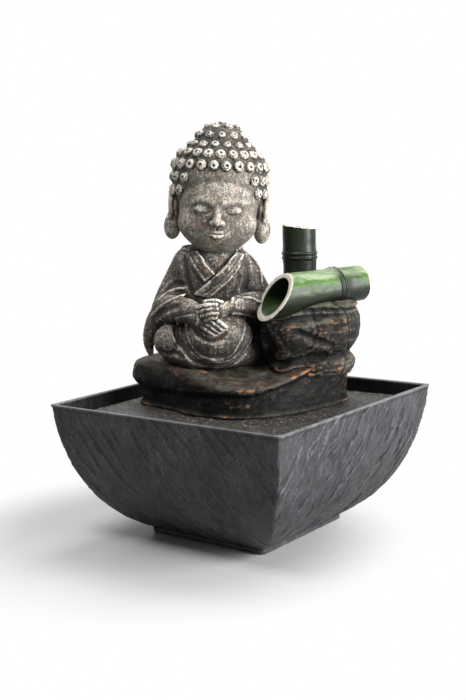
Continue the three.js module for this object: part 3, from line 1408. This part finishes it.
function makeIntakeCover() {
  const back = VOLUTE_FRONT - COVER_OVERLAP;
  const wallBack = COVER_FRONT - COVER_WALL;
  let cover = solid(bodyRun(PUMP_WIDTH, PUMP_HEIGHT, BODY_CORNER, back, COVER_FRONT));
  const innerWidth = PUMP_WIDTH - 2 * COVER_WALL;
  const innerHeight = PUMP_HEIGHT - 2 * COVER_WALL;
  const innerCorner = BODY_CORNER - COVER_WALL;
  const hollow = bodyRun(innerWidth, innerHeight, innerCorner, back - CUT_OVERRUN, wallBack);
  cover = cover.subtract(solid(hollow));
  cover = cutWindows(cover, wallBack - CUT_OVERRUN, COVER_FRONT + CUT_OVERRUN);
  const pinHole = DIAL_PIN_RADIUS + SEAT_GAP;
  cover = cover.subtract(solid(discOnShaft(pinHole, wallBack - CUT_OVERRUN, COVER_FRONT + CUT_OVERRUN)));
  for (const side of [1, -1]) {
    for (let i = 0; i < SLOT_COUNT; i += 1) {
      const x = side * (DIAL_RADIUS + SLOT_WIDTH + i * SLOT_PITCH);
      const slot = block(
        [x - SLOT_WIDTH / 2, wallBack - CUT_OVERRUN, AXIS_HEIGHT - SLOT_LENGTH / 2],
        [x + SLOT_WIDTH / 2, COVER_FRONT + CUT_OVERRUN, AXIS_HEIGHT + SLOT_LENGTH / 2],
      );
      cover = cover.subtract(solid(slot));
    }
  }
  return cover;
}

function makeFlowDial() {
  const discBack = COVER_FRONT + SEAT_GAP;
  const discFront = discBack + DIAL_DISC;
  const headFront = COVER_FRONT - COVER_WALL - SEAT_GAP;
  const headBack = headFront - DIAL_DISC;
  let dial = solid(onShaft([
    [0, headBack],
    [DIAL_HEAD_RADIUS, headBack],
    [DIAL_HEAD_RADIUS, headFront],
    [DIAL_PIN_RADIUS, headFront],
    [DIAL_PIN_RADIUS, discBack],
    [DIAL_RADIUS, discBack],
    [DIAL_RADIUS, discFront],
    [0, discFront],
  ]));
  dial = cutWindows(dial, discBack - SEAT_GAP / 2, discFront + CUT_OVERRUN);
  const grip = block(
    [-DIAL_GRIP_WIDTH / 2, discFront - DIAL_DISC / 2, -DIAL_GRIP_LENGTH / 2],
    [DIAL_GRIP_WIDTH / 2, discFront + DIAL_GRIP_HEIGHT, DIAL_GRIP_LENGTH / 2],
  );
  return dial.add(solid(grip.translate(0, 0, AXIS_HEIGHT)));
}

// Finishes

const SLATE = [0x2f2f32, 0.62];
const ROCK = [0x2b241e, 0.72];
const STONE_GREY = [0x5d574f, 0.75];
const CANE_GREEN = [0x2f6a24, 0.3];
const PUMP_BLACK = [0x17181a, 0.45];
const RUBBER = [0x1c1c1d, 0.85];
const CLEAR_HOSE = [0xb9bdb6, 0.25];
const MAGNET = [0x3b3d40, 0.5, 0.6];
const STEEL = [0xb4b6b9, 0.25, 0.9];
const COPPER = [0xa5602f, 0.4, 0.9];
const RESIN_SEAL = [0x2a2b2e, 0.35];

// Assembly

const fountain = new THREE.Group();
fountain.add(piece("basin", makeBasin(), finish(...SLATE)));
padPlaces().forEach(([x, y], index) => {
  const pad = piece(`foot_pad_${index + 1}`, makePad(), finish(...RUBBER));
  pad.position.set(x, y, 0);
  fountain.add(pad);
});

const pump = new THREE.Group();
pump.position.set(PUMP_X, PUMP_Y, PUMP_BASE);
pump.add(
  piece("pump_housing", makeHousing(), finish(...PUMP_BLACK)),
  piece("stator_core", makeStatorCore(), finish(...MAGNET)),
  piece("stator_coil", makeStatorCoil(), finish(...COPPER)),
  piece("potting_plug", makePottingPlug(), finish(...RESIN_SEAL)),
  piece("cord_gland", makeCordGland(), finish(...RUBBER)),
  piece("volute_cover", makeVolute(), finish(...PUMP_BLACK)),
  piece("rear_bush", makeBush(rearBushStart()), finish(...RUBBER)),
  piece("front_bush", makeBush(frontBushStart()), finish(...RUBBER)),
  piece("impeller_shaft", makeShaft(), finish(...STEEL)),
  piece("rotor_magnet", makeRotor(), finish(...MAGNET)),
  piece("impeller_wheel", makeWheel(), finish(...PUMP_BLACK)),
  piece("intake_cover", makeIntakeCover(), finish(...PUMP_BLACK)),
  piece("flow_dial", makeFlowDial(), finish(...PUMP_BLACK)),
);
cupPlaces().forEach(([x, y], index) => {
  const cup = piece(`suction_cup_${index + 1}`, makeCup(), finish(...RUBBER));
  cup.position.set(x, y, FLOOR_TOP + SEAT_GAP - PUMP_BASE);
  pump.add(cup);
});
fountain.add(pump);

const scenery = new THREE.Group();
scenery.add(piece("base_plate", makePlate(), finish(...ROCK)));
scenery.add(piece("supply_hose", makeHose(), finish(...CLEAR_HOSE)));

const turnedScenery = new THREE.Group();
turnedScenery.rotation.z = SCENERY_TURN;
turnedScenery.add(piece("rock_slab", makeSlab(), finish(...ROCK)));
turnedScenery.add(piece("rock_boulder", makeBoulder(), finish(...ROCK)));

const post = piece("bamboo_post", makePost(), finish(...CANE_GREEN));
post.position.set(...postPlace(), 0);
const spout = piece("bamboo_spout", makeSpout(), finish(...CANE_GREEN));
spout.applyMatrix4(spoutFrame());
const figure = piece("seated_figure", makeFigure(), finish(...STONE_GREY));
figure.position.set(FIGURE_X, FIGURE_Y, seatTop());
figure.rotation.z = FIGURE_TURN;
turnedScenery.add(post, spout, figure);
scenery.add(turnedScenery);
fountain.add(scenery);

export default fountain;
